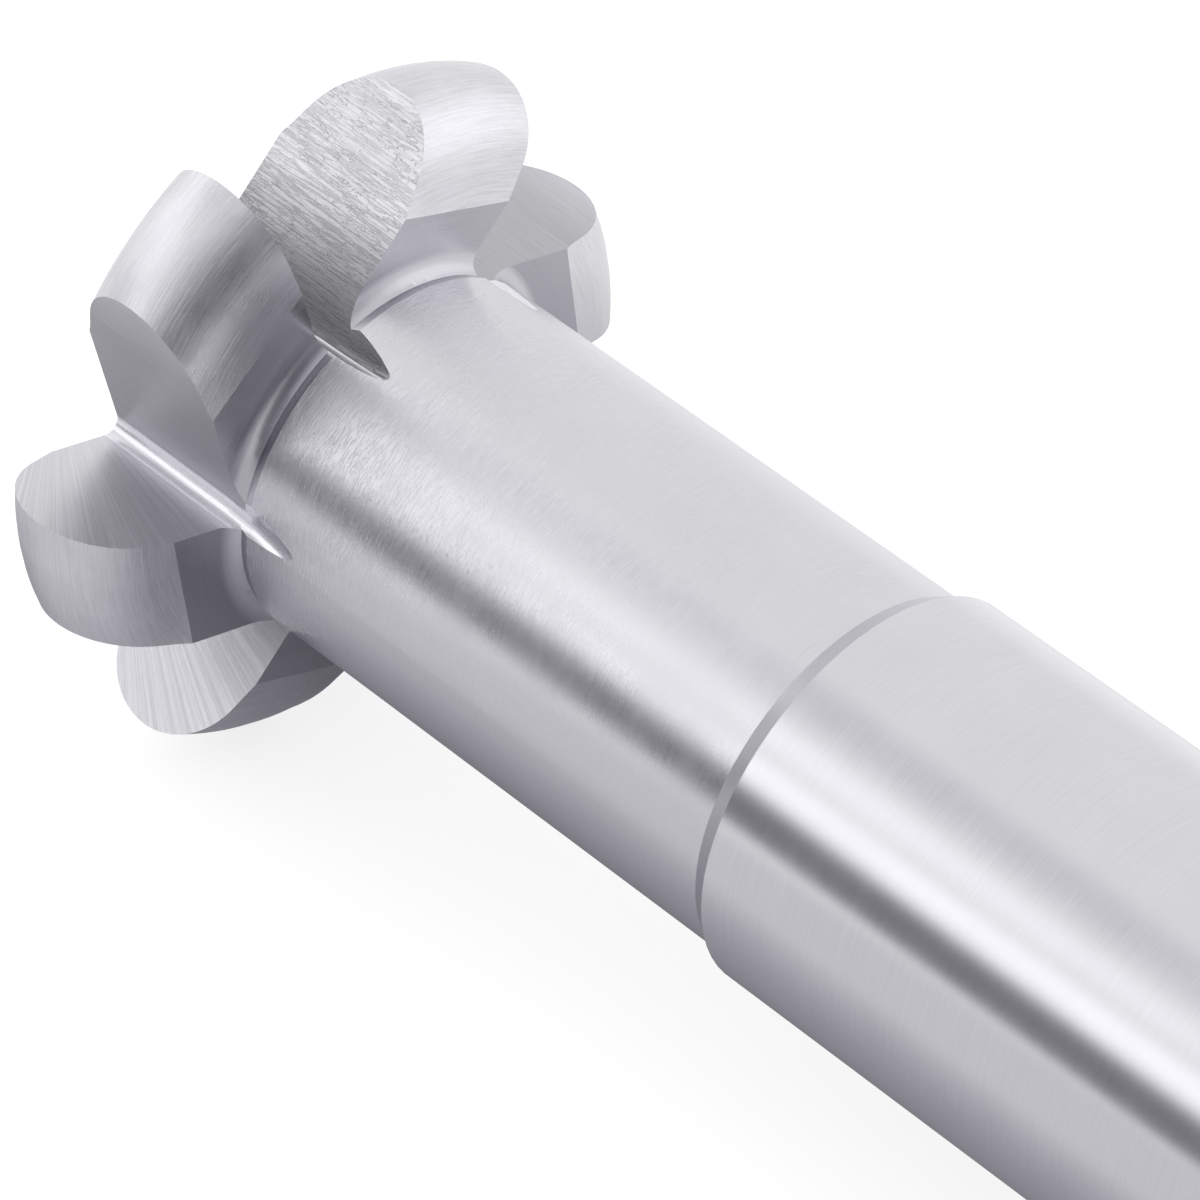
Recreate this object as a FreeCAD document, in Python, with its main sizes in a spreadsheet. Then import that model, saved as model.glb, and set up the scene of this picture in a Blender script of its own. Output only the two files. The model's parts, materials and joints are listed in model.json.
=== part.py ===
import FreeCAD, Part
import math
import os
import Sketcher

# Convex radius cutter, turned and milled from one bar of high speed steel.
# In the body's own frame +Z runs along the tool from the rear end of the shank
# to the cutting head, and the cutting tip of the first tooth points along +X.
# All lengths are in millimetres and all angles in degrees.

SIZES = (
    ("shank_radius", 8.0, "cylindrical shank that the holder grips"),
    ("shank_length", 48.4, "rear end of the shank to the step"),
    ("rear_chamfer", 1.0, "chamfer round the rear end, both legs"),
    ("step_length", 0.8, "cone from the shank down to the neck"),
    ("neck_radius", 7.5, "neck between the step and the head"),
    ("neck_length", 23.2, "step to the sharp edge of the groove behind the head"),
    ("groove_width", 0.9, "sharp edge of the turned groove to the head's wall"),
    ("slope_width", 0.38, "sharp edge to the foot of the groove's slope"),
    ("groove_slope", 14.0, "slope from the sharp edge down into the groove"),
    ("groove_radius", 0.8, "round of the groove, from the slope's foot to the wall"),
    ("hub_radius", 9.6, "disc that the teeth are rooted in"),
    ("crease_rise", 0.27, "hub to the straight crease between a wall and a flank"),
    ("crease_angle", 18.5, "from the tip to where the crease is nearest the hub"),
    ("tip_radius", 14.0, "cutting circle"),
    ("form_radius", 3.15, "convex cutting radius of the teeth"),
    ("form_setback", 0.2, "wall of the head beyond the widest point of the form"),
    ("relief_offset", 1.6, "offset of the axis that the lands turn about"),
    ("tooth_count", 6, "teeth round the head"),
    ("rake_angle", 6.0, "rake of a cutting face at its tip"),
    ("gullet_angle", 60.0, "from a cutting face to the back of the tooth ahead"),
    ("root_fillet", 0.5, "rounding at the bottom of a gullet"),
    ("root_depth", 0.42, "bottom of a gullet below the neck's surface"),
    ("gullet_reach", 3.0, "gullet outline past the cutting circle"),
    ("runout_length", 2.4, "run-out of a gullet over the neck"),
    ("runout_radius", 18.0, "disc that a gullet ends in"),
    ("centre_radius", 2.65, "mouth of a centre hole"),
    ("centre_angle", 60.0, "included angle of a centre hole's cone"),
    ("pilot_radius", 1.25, "straight bore below the cone"),
    ("pilot_length", 1.2, "length of the straight bore"),
    ("drill_angle", 118.0, "included angle of the drill point"),
)

# Share of the tooth pitch that a tooth reaches over, before the gullets are cut.
LAND_SHARE = 0.8
# Sections that a tooth is drawn through.
SECTION_COUNT = 6
# Shares of the hub's radius where a tooth is rooted and where the walls are faced from.
ROOTED_SHARE = 0.98
FACED_SHARE = 0.95
# A cut that takes away less than this many cubic millimetres has missed.
SMALLEST_CUT = 0.5

# A sketch's own axes, its origin, and the points of an edge.
ACROSS = -1
UP = ACROSS - 1
START, END, CENTRE = range(1, 4)
ORIGIN = (ACROSS, START)

# Stations along the tool and derived sizes, as formulas on the sheet.
NECK_END = "(sizes.shank_length + sizes.step_length + sizes.neck_length)"
WALL = f"({NECK_END} + sizes.groove_width)"
HEAD_WIDTH = "(2 * (sizes.form_radius + sizes.form_setback))"
FRONT = f"({WALL} + {HEAD_WIDTH})"
CREASE_DISTANCE = "(sizes.hub_radius + sizes.crease_rise)"
LAND_RADIUS = "sqrt(sizes.tip_radius ^ 2 + sizes.relief_offset ^ 2)"
ROOT_RADIUS = "(sizes.neck_radius - sizes.root_depth)"
RUNOUT_ARC = "sqrt(sizes.root_depth * (2 * sizes.runout_radius - sizes.root_depth))"
GULLET_END = f"({NECK_END} - sizes.runout_length + {RUNOUT_ARC})"


class Drawn:
    """The same sizes as numbers, so that each outline is drawn in its place."""

    def __init__(self, sheet):
        for alias, _, _ in SIZES:
            setattr(self, alias, float(sheet.get(alias)))
        self.neck_start = self.shank_length + self.step_length
        self.neck_end = self.neck_start + self.neck_length
        self.wall = self.neck_end + self.groove_width
        self.head_width = 2 * (self.form_radius + self.form_setback)
        self.front = self.wall + self.head_width
        self.middle = self.wall + self.head_width / 2
        self.crease_distance = self.hub_radius + self.crease_rise
        self.land_radius = math.hypot(self.tip_radius, self.relief_offset)
        self.root_radius = self.neck_radius - self.root_depth
        self.fillet_at = self.root_radius + self.root_fillet
        self.disc_at = self.root_radius + self.runout_radius
        self.reach = self.tip_radius + self.gullet_reach
        self.pitch = 360 / self.tooth_count


def at(x, y):
    return FreeCAD.Vector(x, y, 0)


def toward(degrees, length=1.0):
    angle = math.radians(degrees)
    return at(length * math.cos(angle), length * math.sin(angle))


def azimuth(point):
    return math.degrees(math.atan2(point.y, point.x))


def meets_circle(start, way, centre, radius):
    """Where a line from start, running outward, meets a circle."""
    offset = start - centre
    along = offset.dot(way)
    return start + way * (math.sqrt(along ** 2 + radius ** 2 - offset.Length ** 2) - along)


def make_sheet(doc):
    sheet = doc.addObject("Spreadsheet::Sheet", "sizes")
    for row, (alias, value, note) in enumerate(SIZES, start=1):
        sheet.set(f"A{row}", alias)
        sheet.set(f"B{row}", str(value))
        sheet.set(f"C{row}", note)
        sheet.setAlias(f"B{row}", alias)
    doc.recompute()
    return sheet


def add_sketch(body, name, role, offset="0"):
    """A sketch on one of the body's origin planes, or parallel to it."""
    sketch = body.newObject("Sketcher::SketchObject", name)
    plane = next(part for part in body.Origin.OriginFeatures if part.Role == role)
    sketch.AttachmentSupport = [(plane, "")]
    sketch.MapMode = "FlatFace"
    sketch.setExpression("AttachmentOffset.Base.z", offset)
    return sketch


def add_line(sketch, start, end):
    return sketch.addGeometry(Part.LineSegment(start, end), False)


def add_guide(sketch, start, end):
    return sketch.addGeometry(Part.LineSegment(start, end), True)


def add_arc(sketch, centre, radius, first, last):
    """An arc from the angle first to the angle last, counter-clockwise."""
    circle = Part.Circle(centre, FreeCAD.Vector(0, 0, 1), radius)
    arc = Part.ArcOfCircle(circle, math.radians(first), math.radians(last))
    return sketch.addGeometry(arc, False)


def tie(sketch, kind, *places):
    sketch.addConstraint(Sketcher.Constraint(kind, *places))


def size(sketch, name, kind, places, value, formula):
    """A named dimension that follows the sheet."""
    index = sketch.addConstraint(Sketcher.Constraint(kind, *places, value))
    sketch.renameConstraint(index, name)
    sketch.setExpression(f"Constraints.{name}", formula)


def add_chain(sketch, corners):
    """Lines from corner to corner, joined end to end."""
    lines = [add_line(sketch, start, end) for start, end in zip(corners, corners[1:])]
    for line, following in zip(lines, lines[1:]):
        tie(sketch, "Coincident", line, END, following, START)
    return lines


def bar_outline(body, drawn):
    """Half section of the shank, step, neck, groove and hub."""
    sketch = add_sketch(body, "bar_outline", "XZ_Plane")
    slope_depth = drawn.slope_width * math.tan(math.radians(drawn.groove_slope))
    slope_foot = at(drawn.neck_radius - slope_depth, drawn.neck_end + drawn.slope_width)
    past_centre = drawn.groove_radius - drawn.groove_width + drawn.slope_width
    to_centre = at(math.sqrt(drawn.groove_radius ** 2 - past_centre ** 2), -past_centre)
    groove_centre = slope_foot + to_centre
    rear, chamfer, shank, step, neck, descent = add_chain(sketch, [
        at(0, 0),
        at(drawn.shank_radius - drawn.rear_chamfer, 0),
        at(drawn.shank_radius, drawn.rear_chamfer),
        at(drawn.shank_radius, drawn.shank_length),
        at(drawn.neck_radius, drawn.neck_start),
        at(drawn.neck_radius, drawn.neck_end),
        slope_foot,
    ])
    groove = add_arc(sketch, groove_centre, drawn.groove_radius, 90, 180 + azimuth(to_centre))
    wall, hub, front, axis = add_chain(sketch, [
        at(groove_centre.x, drawn.wall),
        at(drawn.hub_radius, drawn.wall),
        at(drawn.hub_radius, drawn.front),
        at(0, drawn.front),
        at(0, 0),
    ])
    tie(sketch, "Coincident", descent, END, groove, END)
    tie(sketch, "Tangent", groove, START, wall, START)
    tie(sketch, "Coincident", axis, END, rear, START)
    tie(sketch, "Coincident", rear, START, *ORIGIN)
    for edge in (rear, wall, front):
        tie(sketch, "Horizontal", edge)
    for edge in (shank, neck, hub, axis):
        tie(sketch, "Vertical", edge)
    size(sketch, "shank_radius", "DistanceX", (*ORIGIN, shank, END),
         drawn.shank_radius, "sizes.shank_radius")
    size(sketch, "shank_length", "DistanceY", (*ORIGIN, shank, END),
         drawn.shank_length, "sizes.shank_length")
    size(sketch, "chamfer_across", "DistanceX", (rear, END, shank, START),
         drawn.rear_chamfer, "sizes.rear_chamfer")
    size(sketch, "chamfer_along", "DistanceY", (rear, END, shank, START),
         drawn.rear_chamfer, "sizes.rear_chamfer")
    size(sketch, "neck_radius", "DistanceX", (*ORIGIN, neck, START),
         drawn.neck_radius, "sizes.neck_radius")
    size(sketch, "step_length", "DistanceY", (shank, END, neck, START),
         drawn.step_length, "sizes.step_length")
    size(sketch, "neck_length", "DistanceY", (neck, START, neck, END),
         drawn.neck_length, "sizes.neck_length")
    size(sketch, "groove_slope", "Angle", (descent,),
         math.radians(90 + drawn.groove_slope), "90 + sizes.groove_slope")
    size(sketch, "slope_width", "DistanceY", (descent, START, descent, END),
         drawn.slope_width, "sizes.slope_width")
    size(sketch, "groove_radius", "Radius", (groove,),
         drawn.groove_radius, "sizes.groove_radius")
    size(sketch, "groove_width", "DistanceY", (neck, END, wall, START),
         drawn.groove_width, "sizes.groove_width")
    size(sketch, "hub_radius", "DistanceX", (*ORIGIN, wall, END),
         drawn.hub_radius, "sizes.hub_radius")
    size(sketch, "head_width", "DistanceY", (hub, START, hub, END),
         drawn.head_width, HEAD_WIDTH)
    return sketch


def turned_bar(body, drawn):
    outline = bar_outline(body, drawn)
    bar = body.newObject("PartDesign::Revolution", "turned_bar")
    bar.Profile = outline
    bar.ReferenceAxis = (outline, ["V_Axis"])
    bar.Angle = 360
    return bar


def tooth_section(body, drawn, number):
    """Section of a tooth: a convex arc between two flanks that lean in slightly.

    Each flank touches the arc and passes through the crease, where the head's wall
    will be faced. The sections stand round an axis beside the tool's own, so that
    the land falls away behind the tip."""
    sketch = add_sketch(body, f"tooth_section_{number}", "XZ_Plane", "-sizes.relief_offset")
    share = LAND_SHARE * number / (SECTION_COUNT - 1)
    turned_by = f"({share} * 360 / sizes.tooth_count)"
    turn = math.radians(share * drawn.pitch)
    if number:
        sketch.AttachmentOffset.Rotation = FreeCAD.Rotation(FreeCAD.Vector(0, -1, 0), share * drawn.pitch)
        sketch.setExpression("AttachmentOffset.Rotation.Angle", turned_by)
    lean = math.radians(drawn.crease_angle)
    crease_at = ((drawn.crease_distance + drawn.relief_offset * math.sin(lean))
                 / math.cos(turn - lean))
    centre = at(drawn.land_radius - drawn.form_radius, drawn.middle)
    rear_crease = at(crease_at, drawn.wall)
    front_crease = at(crease_at, drawn.front)
    reach = rear_crease - centre
    touch = -azimuth(reach) - math.degrees(math.acos(drawn.form_radius / reach.Length))
    rear_touch = centre + toward(-touch, drawn.form_radius)
    front_touch = centre + toward(touch, drawn.form_radius)
    rooted = (drawn.relief_offset * math.sin(turn)
              + math.sqrt((drawn.hub_radius * ROOTED_SHARE) ** 2
                          - (drawn.relief_offset * math.cos(turn)) ** 2))
    spread = (rear_touch - rear_crease) * ((crease_at - rooted) / (rear_touch.x - crease_at))

    front_flank, base, rear_flank = add_chain(sketch, [
        front_touch,
        at(rooted, drawn.front + spread.y),
        at(rooted, drawn.wall - spread.y),
        rear_touch,
    ])
    form = add_arc(sketch, centre, drawn.form_radius, -touch, touch)
    tie(sketch, "Tangent", rear_flank, END, form, START)
    tie(sketch, "Tangent", form, END, front_flank, START)
    tie(sketch, "Vertical", base)
    for name, place, flank, formula in (
        ("rear", rear_crease, rear_flank, WALL),
        ("front", front_crease, front_flank, FRONT),
    ):
        crease = sketch.addGeometry(Part.Point(place), True)
        tie(sketch, "PointOnObject", crease, START, flank)
        size(sketch, f"{name}_crease", "DistanceX", (*ORIGIN, crease, START),
             crease_at, f"({CREASE_DISTANCE} + sizes.relief_offset * sin(sizes.crease_angle))"
                        f" / cos({turned_by} - sizes.crease_angle)")
        size(sketch, f"{name}_wall", "DistanceY", (*ORIGIN, crease, START), place.y, formula)
    size(sketch, "rooted", "DistanceX", (*ORIGIN, base, END),
         rooted, f"sizes.relief_offset * sin{turned_by} + sqrt((sizes.hub_radius * {ROOTED_SHARE}) ^ 2"
                 f" - (sizes.relief_offset * cos{turned_by}) ^ 2)")
    size(sketch, "form_radius", "Radius", (form,),
         drawn.form_radius, "sizes.form_radius")
    size(sketch, "form_across", "DistanceX", (*ORIGIN, form, CENTRE),
         centre.x, f"{LAND_RADIUS} - sizes.form_radius")
    size(sketch, "form_middle", "DistanceY", (*ORIGIN, form, CENTRE),
         centre.y, f"({WALL} + {HEAD_WIDTH} / 2)")
    return sketch


def relieved_tooth(body, drawn):
    """A tooth, from ahead of its tip to behind its heel."""
    first, *others = [tooth_section(body, drawn, number) for number in range(SECTION_COUNT)]
    tooth = body.newObject("PartDesign::AdditiveLoft", "relieved_tooth")
    tooth.Profile = first
    tooth.Sections = [(section, [""]) for section in others]
    return tooth


def faced_walls(body, drawn):
    """Faces the teeth flush with the head's two flat walls."""
    outline = add_sketch(body, "facing_outline", "XZ_Plane")
    inner = drawn.hub_radius * FACED_SHARE
    outer = drawn.reach
    depth = drawn.tip_radius
    for name, wall, beyond, formula in (
        ("rear", drawn.wall, drawn.wall - depth, WALL),
        ("front", drawn.front, drawn.front + depth, FRONT),
    ):
        face, rise, far, fall = add_chain(outline, [
            at(inner, wall), at(outer, wall), at(outer, beyond), at(inner, beyond), at(inner, wall),
        ])
        tie(outline, "Coincident", fall, END, face, START)
        for edge in (face, far):
            tie(outline, "Horizontal", edge)
        for edge in (rise, fall):
            tie(outline, "Vertical", edge)
        size(outline, f"{name}_wall", "DistanceY", (*ORIGIN, face, START), wall, formula)
        size(outline, f"{name}_inner", "DistanceX", (*ORIGIN, face, START),
             inner, f"sizes.hub_radius * {FACED_SHARE}")
        size(outline, f"{name}_outer", "DistanceX", (*ORIGIN, face, END),
             outer, "sizes.tip_radius + sizes.gullet_reach")
        ends = (END, START) if beyond < wall else (START, END)
        size(outline, f"{name}_depth", "DistanceY", (rise, ends[0], rise, ends[1]),
             depth, "sizes.tip_radius")
    facing = body.newObject("PartDesign::Groove", "faced_walls")
    facing.Profile = outline
    facing.ReferenceAxis = (outline, ["V_Axis"])
    facing.Angle = 360
    return facing


class GulletSides:
    """Where the two sides of a gullet leave its rounded root.

    The cutting face leans by the rake angle and passes through the tip, and the
    back of the tooth ahead leans from it by the gullet angle."""

    def __init__(self, drawn):
        face_lean = drawn.rake_angle
        back_lean = drawn.rake_angle + drawn.gullet_angle
        self.face_way = toward(face_lean)
        self.back_way = toward(back_lean)
        aside = drawn.root_fillet - drawn.tip_radius * math.sin(math.radians(face_lean))
        along = math.sqrt(drawn.fillet_at ** 2 - aside ** 2)
        self.centre = self.face_way * along + toward(face_lean + 90) * aside
        self.face_root = self.centre + toward(face_lean - 90, drawn.root_fillet)
        self.back_root = self.centre + toward(back_lean + 90, drawn.root_fillet)


def gullet_outline(body, drawn):
    """Section of a gullet, in the plane where its straight run ends.

    The guide called spindle is the axis of the disc that the gullet ends in."""
    sketch = add_sketch(body, "gullet_outline", "XY_Plane", GULLET_END)
    sides = GulletSides(drawn)
    face_top = meets_circle(sides.face_root, sides.face_way, at(0, 0), drawn.reach)
    back_top = meets_circle(sides.back_root, sides.back_way, at(0, 0), drawn.reach)
    disc_centre = toward(azimuth(sides.centre), drawn.disc_at)
    spindle_end = disc_centre + toward(azimuth(sides.centre) + 90, drawn.root_fillet)

    spindle = add_guide(sketch, disc_centre, spindle_end)
    spoke = add_guide(sketch, at(0, 0), disc_centre)
    tip = sketch.addGeometry(Part.Point(at(drawn.tip_radius, 0)), True)
    face = add_line(sketch, sides.face_root, face_top)
    back = add_line(sketch, back_top, sides.back_root)
    root = add_arc(sketch, sides.centre, drawn.root_fillet,
                   azimuth(sides.back_root - sides.centre),
                   azimuth(sides.face_root - sides.centre))
    mouth = add_arc(sketch, at(0, 0), drawn.reach, azimuth(face_top), azimuth(back_top))
    tie(sketch, "Tangent", root, END, face, START)
    tie(sketch, "Tangent", back, END, root, START)
    tie(sketch, "Coincident", mouth, START, face, END)
    tie(sketch, "Coincident", mouth, END, back, START)
    tie(sketch, "Coincident", mouth, CENTRE, *ORIGIN)
    tie(sketch, "Coincident", spoke, START, *ORIGIN)
    tie(sketch, "PointOnObject", root, CENTRE, spoke)
    tie(sketch, "Coincident", spindle, START, spoke, END)
    tie(sketch, "Perpendicular", spindle, spoke)
    tie(sketch, "PointOnObject", tip, START, ACROSS)
    tie(sketch, "PointOnObject", tip, START, face)
    size(sketch, "tip_radius", "DistanceX", (*ORIGIN, tip, START),
         drawn.tip_radius, "sizes.tip_radius")
    size(sketch, "rake_angle", "Angle", (ACROSS, START, face, START),
         math.radians(drawn.rake_angle), "sizes.rake_angle")
    size(sketch, "gullet_angle", "Angle", (face, START, back, END),
         math.radians(drawn.gullet_angle), "sizes.gullet_angle")
    size(sketch, "root_fillet", "Radius", (root,),
         drawn.root_fillet, "sizes.root_fillet")
    size(sketch, "fillet_centre", "Distance", (*ORIGIN, root, CENTRE),
         drawn.fillet_at, f"{ROOT_RADIUS} + sizes.root_fillet")
    size(sketch, "reach", "Radius", (mouth,),
         drawn.reach, "sizes.tip_radius + sizes.gullet_reach")
    size(sketch, "disc_centre", "Distance", (*ORIGIN, spoke, END),
         drawn.disc_at, f"{ROOT_RADIUS} + sizes.runout_radius")
    size(sketch, "spindle_mark", "Distance", (spindle, START, spindle, END),
         drawn.root_fillet, "sizes.root_fillet")
    return sketch


def gullet(body, drawn):
    """A straight run through the head, then the disc's arc out over the neck."""
    outline = gullet_outline(body, drawn)
    run = body.newObject("PartDesign::Pocket", "gullet_run")
    run.Profile = outline
    run.Type = "ThroughAll"
    run.Reversed = True
    runout = body.newObject("PartDesign::Groove", "gullet_runout")
    runout.Profile = outline
    runout.ReferenceAxis = (outline, ["Axis0"])
    runout.Angle = 90
    runout.Reversed = True
    return run, runout


def round_the_tool(body, name, features, about):
    """Repeats features evenly round the tool's axis, one for each tooth."""
    pattern = body.newObject("PartDesign::PolarPattern", name)
    pattern.Originals = features
    pattern.Axis = (about, ["V_Axis"])
    pattern.Angle = 360
    pattern.setExpression("Occurrences", "sizes.tooth_count")
    body.Tip = pattern
    return pattern


def centre_hole(body, drawn, name, face, face_formula, inward):
    """A drilled centre in an end face: cone, straight bore and drill point.

    Inward is 1 at the rear end of the tool and -1 at the front."""
    outline = add_sketch(body, f"{name}_outline", "XZ_Plane")
    cone_slope = math.tan(math.radians(drawn.centre_angle / 2))
    point_slope = math.tan(math.radians(drawn.drill_angle / 2))
    cone_depth = (drawn.centre_radius - drawn.pilot_radius) / cone_slope
    point_depth = drawn.pilot_radius / point_slope
    cone_end = face + inward * cone_depth
    bore_end = cone_end + inward * drawn.pilot_length
    mouth, cone, bore, point, axis = add_chain(outline, [
        at(0, face),
        at(drawn.centre_radius, face),
        at(drawn.pilot_radius, cone_end),
        at(drawn.pilot_radius, bore_end),
        at(0, bore_end + inward * point_depth),
        at(0, face),
    ])
    tie(outline, "Coincident", axis, END, mouth, START)
    tie(outline, "PointOnObject", mouth, START, UP)
    tie(outline, "Horizontal", mouth)
    tie(outline, "Vertical", bore)
    tie(outline, "Vertical", axis)
    size(outline, "face", "DistanceY", (*ORIGIN, mouth, START), face, face_formula)
    size(outline, "centre_radius", "DistanceX", (*ORIGIN, mouth, END),
         drawn.centre_radius, "sizes.centre_radius")
    size(outline, "pilot_radius", "DistanceX", (*ORIGIN, bore, START),
         drawn.pilot_radius, "sizes.pilot_radius")
    for edge, depth, formula in (
        (cone, cone_depth,
         "(sizes.centre_radius - sizes.pilot_radius) / tan(sizes.centre_angle / 2)"),
        (bore, drawn.pilot_length, "sizes.pilot_length"),
        (point, point_depth, "sizes.pilot_radius / tan(sizes.drill_angle / 2)"),
    ):
        ends = (START, END) if inward > 0 else (END, START)
        size(outline, f"depth_{edge}", "DistanceY", (edge, ends[0], edge, ends[1]),
             depth, formula)
    hole = body.newObject("PartDesign::Groove", name)
    hole.Profile = outline
    hole.ReferenceAxis = (outline, ["V_Axis"])
    hole.Angle = 360
    return hole


def check_cuts(*steps):
    """Stops if a cut has taken nothing off the shape before it."""
    for before, after in zip(steps, steps[1:]):
        if after.Shape.Volume > before.Shape.Volume - SMALLEST_CUT:
            raise RuntimeError(f"{after.Name} cuts nothing")


def check_document(doc, bodies):
    for part in doc.Objects:
        if "Invalid" in part.State or "Error" in part.State:
            raise RuntimeError(f"{part.Name} did not build: {part.State}")
    for body in bodies:
        if body.Shape.isNull() or not body.Shape.isValid():
            raise RuntimeError(f"{body.Label} has no valid shape")


def lay_down(body, drawn):
    """Lays the tool on its side as it rests on a flat surface.

    It touches with the heel of one tooth, the cutting edge of the next and the
    rear end of the shank. The shank points along +X."""
    sides = GulletSides(drawn)
    heel = meets_circle(sides.back_root, sides.back_way,
                        toward(90 + drawn.pitch, drawn.relief_offset), drawn.land_radius)
    tip = at(drawn.tip_radius, 0)
    chord = heel - tip
    down = azimuth(at(chord.y, -chord.x))
    head_rests_at = tip.dot(toward(down))

    # The convex form and the shank's rear corner lie on one tangent line.
    rise = head_rests_at - drawn.form_radius - drawn.shank_radius
    span = drawn.middle - drawn.rear_chamfer
    lean = math.degrees(math.atan2(rise, span)
                        + math.asin(drawn.form_radius / math.hypot(rise, span)))
    turn = FreeCAD.Rotation(FreeCAD.Vector(0, 0, 1), 180 + drawn.pitch - down)
    tilt = FreeCAD.Rotation(FreeCAD.Vector(0, 1, 0), lean - 90)
    body.Placement = FreeCAD.Placement(FreeCAD.Vector(0, 0, 0), tilt * turn)
    box = body.Shape.optimalBoundingBox(False)
    body.Placement.Base = FreeCAD.Vector(-box.Center.x, -box.Center.y, -box.ZMin)


def main():
    doc = FreeCAD.newDocument("convex_radius_cutter")
    drawn = Drawn(make_sheet(doc))
    body = doc.addObject("PartDesign::Body", "cutter")
    body.Label = "cutter"

    bar = turned_bar(body, drawn)
    doc.recompute()
    tooth = relieved_tooth(body, drawn)
    doc.recompute()
    teeth = round_the_tool(body, "teeth", [tooth], bar.Profile[0])
    doc.recompute()
    facing = faced_walls(body, drawn)
    doc.recompute()
    run, runout = gullet(body, drawn)
    doc.recompute()
    gullets = round_the_tool(body, "gullets", [run, runout], bar.Profile[0])
    doc.recompute()
    rear_centre = centre_hole(body, drawn, "rear_centre", 0, "0", 1)
    front_centre = centre_hole(body, drawn, "front_centre", drawn.front, FRONT, -1)
    body.Tip = front_centre
    doc.recompute()

    check_document(doc, [body])
    check_cuts(teeth, facing, run, runout, gullets, rear_centre, front_centre)
    lay_down(body, drawn)
    doc.recompute()
    os.makedirs("parts", exist_ok=True)
    body.Shape.exportStep(f"parts/{body.Label}.step")


main()
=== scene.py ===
import json
import math
from typing import NamedTuple

import bpy
from mathutils import Euler, Matrix, Vector


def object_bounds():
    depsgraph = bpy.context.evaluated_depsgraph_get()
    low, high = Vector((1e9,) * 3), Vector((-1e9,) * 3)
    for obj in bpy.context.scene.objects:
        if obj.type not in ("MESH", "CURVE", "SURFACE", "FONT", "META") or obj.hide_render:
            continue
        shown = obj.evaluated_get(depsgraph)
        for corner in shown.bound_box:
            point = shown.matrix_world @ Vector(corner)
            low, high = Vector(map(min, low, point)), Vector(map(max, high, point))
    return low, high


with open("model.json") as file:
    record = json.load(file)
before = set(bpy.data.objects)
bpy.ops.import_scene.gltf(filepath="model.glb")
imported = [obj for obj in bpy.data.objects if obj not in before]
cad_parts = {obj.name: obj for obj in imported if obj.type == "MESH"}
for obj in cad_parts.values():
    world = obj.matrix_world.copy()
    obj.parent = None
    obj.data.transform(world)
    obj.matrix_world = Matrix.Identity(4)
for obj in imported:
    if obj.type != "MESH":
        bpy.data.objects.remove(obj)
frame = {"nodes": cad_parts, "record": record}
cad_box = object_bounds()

bl_info = {
    "name": "Convex radius cutter",
    "version": (1, 0, 0),
    "blender": (4, 5, 0),
    "location": "3D View > Sidebar > Cutter",
    "description": "Ground, turned and milled steel finishes of a convex radius cutter, and its studio",
    "category": "Material",
}

NODE = "cutter"
MM = 0.001

# How close a triangle has to lie to a surface of the tool to belong to it, in millimetres.
NEAR = 0.03
# How far a direction may lean from a plane's normal, as a cosine.
FLUSH = math.cos(math.radians(1.5))
# How large a part of a normal may be that ought to be nothing.
LEVEL = 0.06
# How far a triangle of the turned groove may face round the tool, as a part of its normal.
TURNED = 0.15
# How far a side of a gullet faces round the tool at least, as a part of its normal.
ACROSS = 0.3
# How far a side of a gullet may be turned from its place, as a share of the tooth pitch.
SAME_WAY = 0.02
# Steps of the tooth pitch in which the backs are sorted by the way they face.
FACING_STEPS = 6
# How alike the torn back and the run-out below it face, as a cosine.
FACES_ALIKE = math.cos(math.radians(40))
# How far that run-out reaches from the middle of the back, and how far it may lie off the
# back's plane, in metres.
RUN_OUT_REACH = 0.008
RUN_OUT_OFF = 0.001

WHITE = (1.0, 1.0, 1.0, 1.0)
BLACK = (0.0, 0.0, 0.0, 1.0)
COOL = (0.90, 0.89, 1.0, 1.0)
# Level at and below which a light is fully cool. It is white from level 1 on.
COOL_LEVEL = 0.2

SHANK = frame["record"]["mounts"][0]


class Lines(NamedTuple):
    """Steel with fine lines round the tool's axis. Lengths are in millimetres."""

    material: str
    # Which colour of the finish it has, and how much rougher it is than the neck.
    colour: str
    rougher: float
    # Distance between two lines, how long they are, and how high they stand.
    spacing: float
    length: float
    depth: float
    # What the lines follow one another along: the tool's length, a turned profile,
    # or the rounded form of a tooth.
    along: str = "length"
    # Which way the tangent of its highlights runs: along the axis, or outward from it.
    tangent: str = "axis"
    # How much the colour and the roughness vary.
    contrast: float = 0.06
    variation: float = 0.05
    # Height of the broad lines as a share of the fine ones' height.
    broad_share: float = 0.5
    # Height of the short strokes near the head, which also carry a painted glint in the colour.
    strokes: float = 0.0


LINED_SURFACES = {
    "shank": Lines("ground_shank", "steel", rougher=-0.06, spacing=0.045, length=4.0,
                   depth=0.0014, contrast=0.04, variation=0.02),
    "step": Lines("turned_step", "turned", rougher=0.12, spacing=0.05, length=3.0,
                  depth=0.003, contrast=0.08),
    "neck": Lines("polished_neck", "steel", rougher=0.0, spacing=0.045, length=1.0,
                  depth=0.0022, contrast=0.05, broad_share=0.3, strokes=0.005),
    "groove": Lines("turned_groove", "turned", rougher=0.0, spacing=0.05, length=4.0,
                    depth=0.0008, along="profile", tangent="outward", contrast=0.05),
    "land": Lines("ground_land", "steel", rougher=0.0, spacing=0.085, length=2.2,
                  depth=0.013, along="form", contrast=0.12, variation=0.06, broad_share=0.2),
    "end_face": Lines("turned_end", "turned", rougher=0.05, spacing=0.12, length=5.0,
                      depth=0.003, along="profile", tangent="outward"),
    "centre_hole": Lines("drilled_centre", "turned", rougher=0.02, spacing=0.08, length=2.0,
                         depth=0.002),
}

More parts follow.
